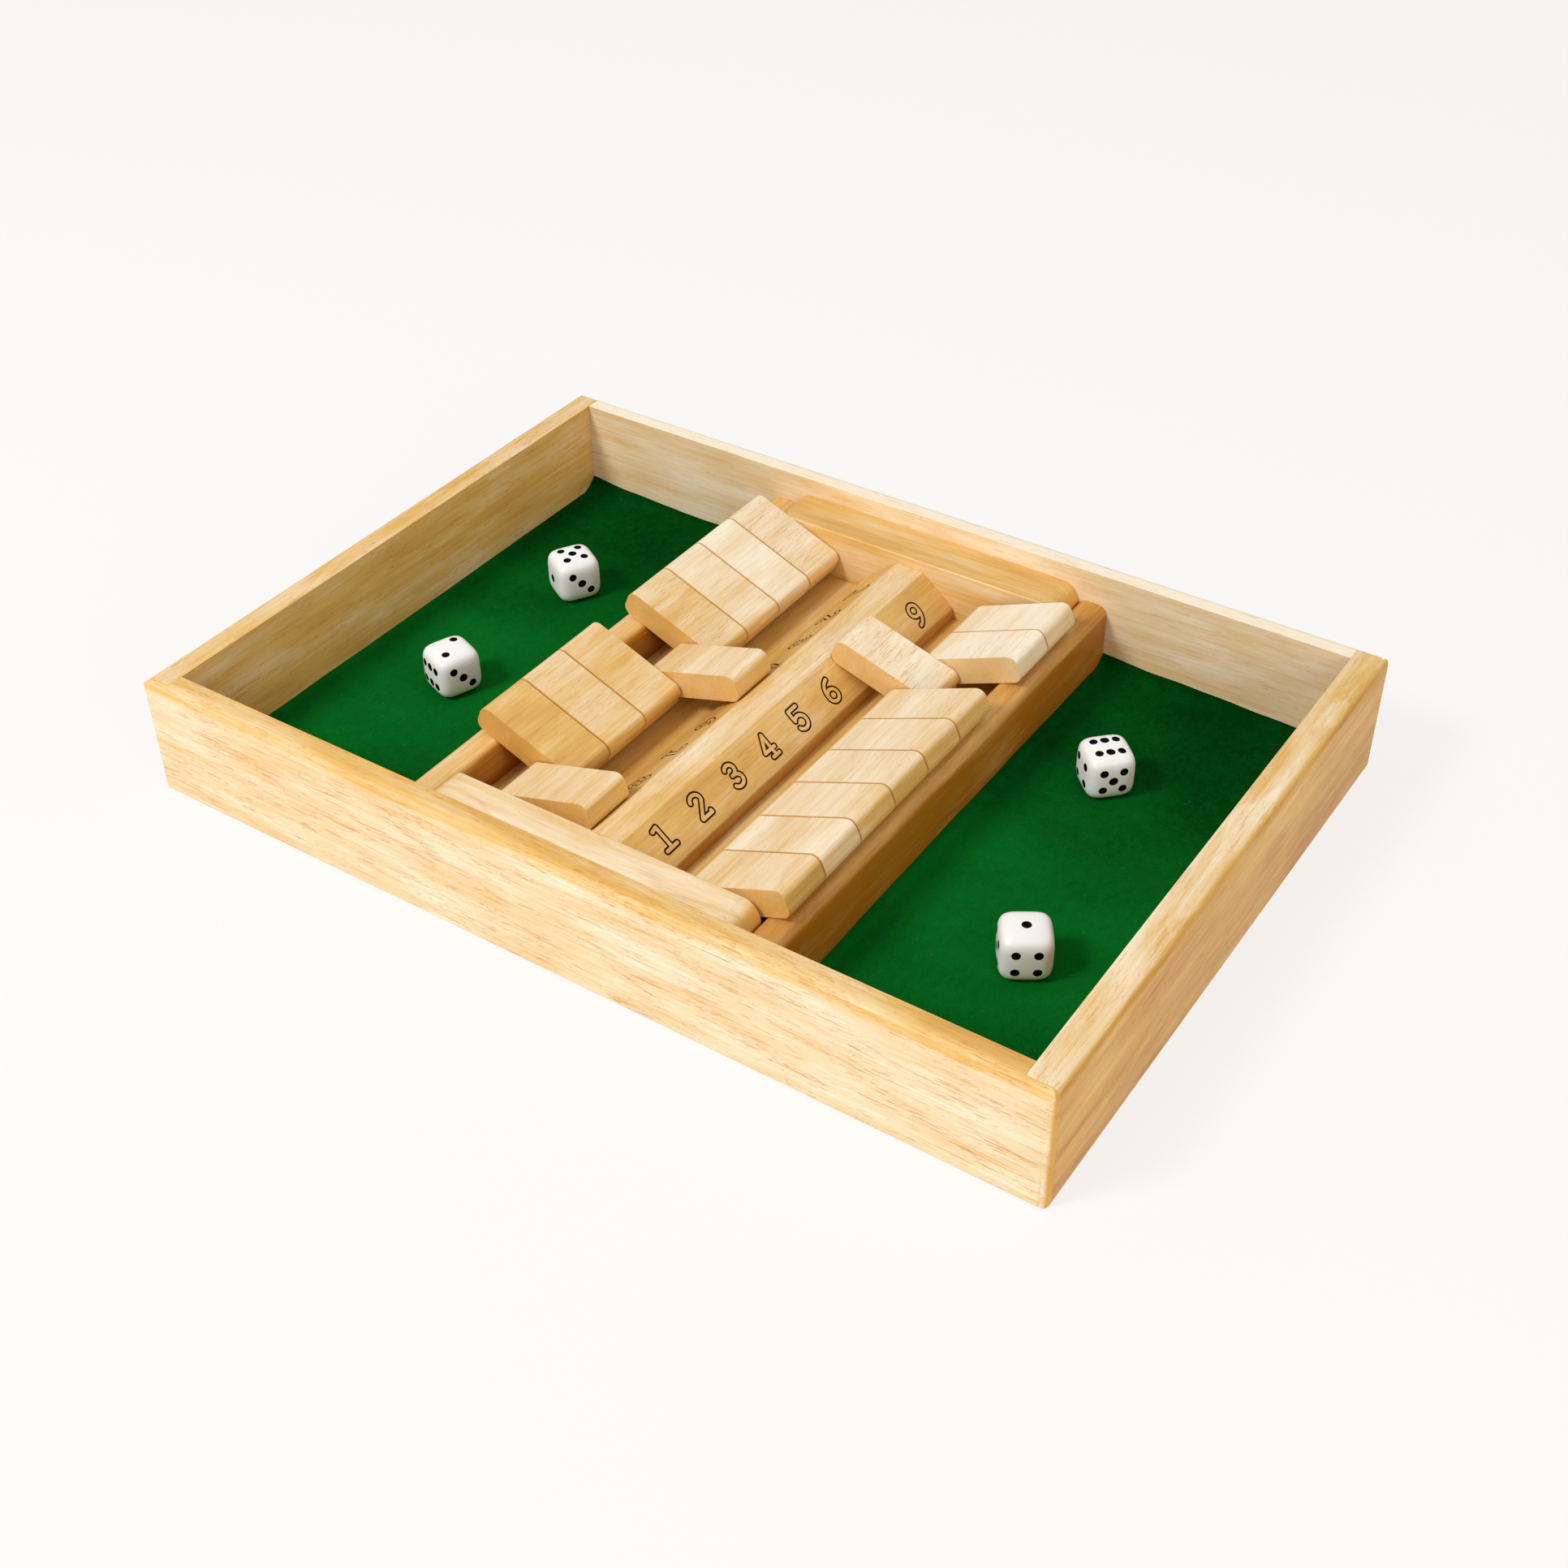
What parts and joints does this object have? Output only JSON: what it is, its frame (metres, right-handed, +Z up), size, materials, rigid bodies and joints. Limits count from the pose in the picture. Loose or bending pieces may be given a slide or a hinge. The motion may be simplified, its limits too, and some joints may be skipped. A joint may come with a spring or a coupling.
{
  "type": "shut the box game",
  "caption": "Open wooden dice tray with felt bays at both ends and a numbered bar between two rows of swinging tiles on steel rods.",
  "frame": {"origin": "on the table, under the middle of the tray's footprint", "axes": "+X along the long boards towards the right end board, +Y towards the back long board, +Z up"},
  "size_m": [0.338, 0.2348, 0.045],
  "materials": {
    "tray_wood": "pale rubberwood boards, clear satin lacquer, grain along each board",
    "rail_wood": "pale rubberwood, clear satin lacquer, grain along the rail",
    "block_wood": "pale rubberwood, clear satin lacquer, grain along the long side",
    "bar_wood": "pale rubberwood, clear satin lacquer, with a dark outlined number for each tile",
    "tile_wood": "pale rubberwood, clear satin lacquer, grain across the tile and tan end grain on its sides",
    "floor_wood": "warmer rubberwood under clear lacquer",
    "panel_wood": "thin birch plywood, bare",
    "felt": "deep green pressed felt, matt, with short fibres",
    "rod_steel": "bright drawn steel rod",
    "dice_plastic": "polished white plastic with black sunk pips"
  },
  "bodies": {
    "tray": {"front_board": "tray_wood", "back_board": "tray_wood", "left_board": "tray_wood", "right_board": "tray_wood", "base_panel": "panel_wood", "felt_left": "felt", "felt_right": "felt", "rail_left": "rail_wood", "rail_right": "rail_wood", "trough_floor": "floor_wood", "front_rod_block": "block_wood", "back_rod_block": "block_wood", "number_bar": "bar_wood", "rod_left": "rod_steel", "rod_right": "rod_steel"},
    "tile_left_1": {"tile_left_1": "tile_wood"},
    "tile_left_2": {"tile_left_2": "tile_wood"},
    "tile_left_3": {"tile_left_3": "tile_wood"},
    "tile_left_4": {"tile_left_4": "tile_wood"},
    "tile_left_5": {"tile_left_5": "tile_wood"},
    "tile_left_6": {"tile_left_6": "tile_wood"},
    "tile_left_7": {"tile_left_7": "tile_wood"},
    "tile_left_8": {"tile_left_8": "tile_wood"},
    "tile_left_9": {"tile_left_9": "tile_wood"},
    "tile_right_1": {"tile_right_1": "tile_wood"},
    "tile_right_2": {"tile_right_2": "tile_wood"},
    "tile_right_3": {"tile_right_3": "tile_wood"},
    "tile_right_4": {"tile_right_4": "tile_wood"},
    "tile_right_5": {"tile_right_5": "tile_wood"},
    "tile_right_6": {"tile_right_6": "tile_wood"},
    "tile_right_7": {"tile_right_7": "tile_wood"},
    "tile_right_8": {"tile_right_8": "tile_wood"},
    "tile_right_9": {"tile_right_9": "tile_wood"},
    "die_1": {"die_1": "dice_plastic"},
    "die_2": {"die_2": "dice_plastic"},
    "die_3": {"die_3": "dice_plastic"},
    "die_4": {"die_4": "dice_plastic"}
  },
  "joints": [
    {"name": "tile_left_1_swing", "type": "hinge", "parent": "tray", "child": "tile_left_1", "pos_m": [-0.0375, 0.0809, 0.0283], "axis": [0, 1, 0], "range_deg": [0, 140.25]},
    {"name": "tile_left_2_swing", "type": "hinge", "parent": "tray", "child": "tile_left_2", "pos_m": [-0.0375, 0.0611, 0.0283], "axis": [0, 1, 0], "range_deg": [0, 140.25]},
    {"name": "tile_left_3_swing", "type": "hinge", "parent": "tray", "child": "tile_left_3", "pos_m": [-0.0375, 0.0413, 0.0283], "axis": [0, 1, 0], "range_deg": [0, 140.25]},
    {"name": "tile_left_4_swing", "type": "hinge", "parent": "tray", "child": "tile_left_4", "pos_m": [-0.0375, 0.0215, 0.0283], "axis": [0, 1, 0], "range_deg": [0, 140.25]},
    {"name": "tile_left_5_swing", "type": "hinge", "parent": "tray", "child": "tile_left_5", "pos_m": [-0.0375, 0.0017, 0.0283], "axis": [0, 1, 0], "range_deg": [-140.25, 0]},
    {"name": "tile_left_6_swing", "type": "hinge", "parent": "tray", "child": "tile_left_6", "pos_m": [-0.0375, -0.0181, 0.0283], "axis": [0, 1, 0], "range_deg": [0, 140.25]},
    {"name": "tile_left_7_swing", "type": "hinge", "parent": "tray", "child": "tile_left_7", "pos_m": [-0.0375, -0.0379, 0.0283], "axis": [0, 1, 0], "range_deg": [0, 140.25]},
    {"name": "tile_left_8_swing", "type": "hinge", "parent": "tray", "child": "tile_left_8", "pos_m": [-0.0375, -0.0577, 0.0283], "axis": [0, 1, 0], "range_deg": [0, 140.25]},
    {"name": "tile_left_9_swing", "type": "hinge", "parent": "tray", "child": "tile_left_9", "pos_m": [-0.0375, -0.0775, 0.0283], "axis": [0, 1, 0], "range_deg": [-140.25, 0]},
    {"name": "tile_right_1_swing", "type": "hinge", "parent": "tray", "child": "tile_right_1", "pos_m": [0.0375, -0.0801, 0.0283], "axis": [0, -1, 0], "range_deg": [0, 140.25]},
    {"name": "tile_right_2_swing", "type": "hinge", "parent": "tray", "child": "tile_right_2", "pos_m": [0.0375, -0.0603, 0.0283], "axis": [0, -1, 0], "range_deg": [0, 140.25]},
    {"name": "tile_right_3_swing", "type": "hinge", "parent": "tray", "child": "tile_right_3", "pos_m": [0.0375, -0.0405, 0.0283], "axis": [0, -1, 0], "range_deg": [0, 140.25]},
    {"name": "tile_right_4_swing", "type": "hinge", "parent": "tray", "child": "tile_right_4", "pos_m": [0.0375, -0.0207, 0.0283], "axis": [0, -1, 0], "range_deg": [0, 140.25]},
    {"name": "tile_right_5_swing", "type": "hinge", "parent": "tray", "child": "tile_right_5", "pos_m": [0.0375, -0.0009, 0.0283], "axis": [0, -1, 0], "range_deg": [0, 140.25]},
    {"name": "tile_right_6_swing", "type": "hinge", "parent": "tray", "child": "tile_right_6", "pos_m": [0.0375, 0.0189, 0.0283], "axis": [0, -1, 0], "range_deg": [0, 140.25]},
    {"name": "tile_right_7_swing", "type": "hinge", "parent": "tray", "child": "tile_right_7", "pos_m": [0.0375, 0.0387, 0.0283], "axis": [0, -1, 0], "range_deg": [-140.25, 0]},
    {"name": "tile_right_8_swing", "type": "hinge", "parent": "tray", "child": "tile_right_8", "pos_m": [0.0375, 0.0585, 0.0283], "axis": [0, -1, 0], "range_deg": [0, 140.25]},
    {"name": "tile_right_9_swing", "type": "hinge", "parent": "tray", "child": "tile_right_9", "pos_m": [0.0375, 0.0783, 0.0283], "axis": [0, -1, 0], "range_deg": [0, 140.25]},
    {"name": "die_1_lift", "type": "slide", "parent": "tray", "child": "die_1", "axis": [0, 0, 1], "range_m": [0, 0.045]},
    {"name": "die_2_lift", "type": "slide", "parent": "tray", "child": "die_2", "axis": [0, 0, 1], "range_m": [0, 0.045]},
    {"name": "die_3_lift", "type": "slide", "parent": "tray", "child": "die_3", "axis": [0, 0, 1], "range_m": [0, 0.045]},
    {"name": "die_4_lift", "type": "slide", "parent": "tray", "child": "die_4", "axis": [0, 0, 1], "range_m": [0, 0.045]}
  ]
}
